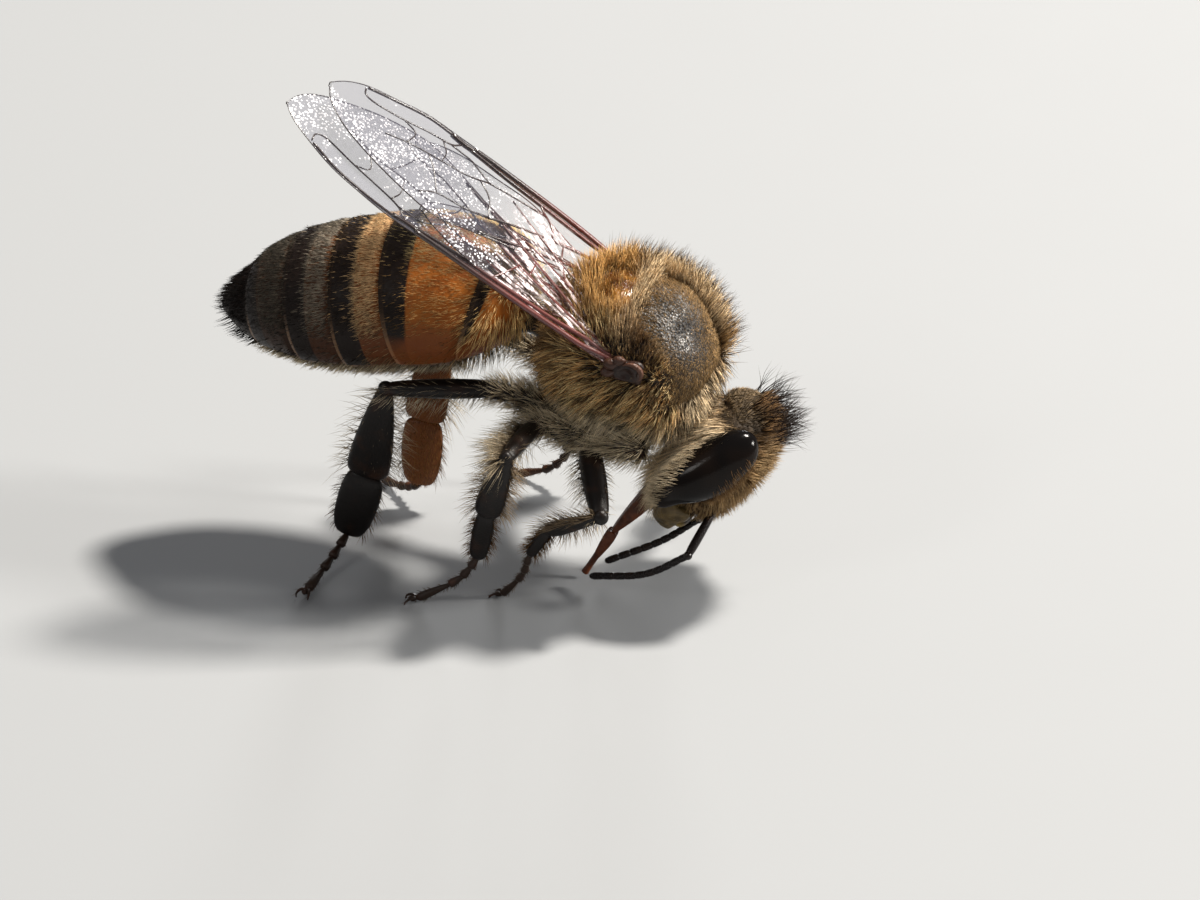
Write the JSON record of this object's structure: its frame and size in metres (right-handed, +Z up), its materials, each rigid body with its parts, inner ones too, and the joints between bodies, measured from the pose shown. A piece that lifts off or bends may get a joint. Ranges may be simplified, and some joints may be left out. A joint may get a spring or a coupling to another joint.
{
  "type": "worker honey bee, still life-size model",
  "caption": "Life-size still model of a furry banded honey bee, standing bent down to feed with its wings raised over its back.",
  "frame": {"origin": "centre of the bee's outline on the floor that its six feet rest on", "axes": "+X forward towards the head, +Y to the bee's left, +Z up"},
  "size_m": [0.0128, 0.0072, 0.012],
  "materials": {
    "furred_body": "dark brown body shell under a thick coat of fine golden brown and cream hair",
    "banded_abdomen": "satin shell in amber and black bands with short pale hair",
    "dark_shell": "satin black-brown horny shell with fine hairs",
    "brown_shell": "glossy red-brown horny shell",
    "eye": "very glossy black compound eye with fine facets",
    "wing_membrane": "thin clear membrane with brown veins and a faint rainbow sheen"
  },
  "bodies": {
    "root": {"thorax": "furred_body", "tegula_left": "brown_shell", "tegula_right": "brown_shell", "eye_left": "eye", "eye_right": "eye", "head": "furred_body", "labrum": "dark_shell", "mandible_left": "dark_shell", "mandible_right": "dark_shell", "proboscis_base": "brown_shell", "tongue": "brown_shell", "scape_left": "dark_shell", "flagellum_left": "dark_shell", "scape_right": "dark_shell", "flagellum_right": "dark_shell", "abdomen_1": "banded_abdomen", "abdomen_2": "banded_abdomen", "abdomen_3": "banded_abdomen", "abdomen_4": "banded_abdomen", "abdomen_5": "banded_abdomen", "abdomen_6": "banded_abdomen", "waist": "furred_body", "front_femur_left": "dark_shell", "front_coxa_left": "dark_shell", "front_tibia_left": "dark_shell", "front_basitarsus_left": "dark_shell", "front_tarsus_left": "dark_shell", "front_femur_right": "dark_shell", "front_coxa_right": "dark_shell", "front_tibia_right": "dark_shell", "front_basitarsus_right": "dark_shell", "front_tarsus_right": "dark_shell", "middle_femur_left": "dark_shell", "middle_coxa_left": "dark_shell", "middle_tibia_left": "dark_shell", "middle_basitarsus_left": "dark_shell", "middle_tarsus_left": "dark_shell", "middle_femur_right": "dark_shell", "middle_coxa_right": "dark_shell", "middle_tibia_right": "dark_shell", "middle_basitarsus_right": "dark_shell", "middle_tarsus_right": "dark_shell", "hind_femur_left": "dark_shell", "hind_coxa_left": "dark_shell", "hind_tibia_left": "dark_shell", "hind_basitarsus_left": "dark_shell", "hind_tarsus_left": "dark_shell", "hind_femur_right": "dark_shell", "hind_coxa_right": "dark_shell", "hind_tibia_right": "dark_shell", "hind_basitarsus_right": "dark_shell", "hind_tarsus_right": "dark_shell", "forewing_left": "wing_membrane", "hindwing_left": "wing_membrane", "forewing_right": "wing_membrane", "hindwing_right": "wing_membrane"}
  },
  "joints": []
}
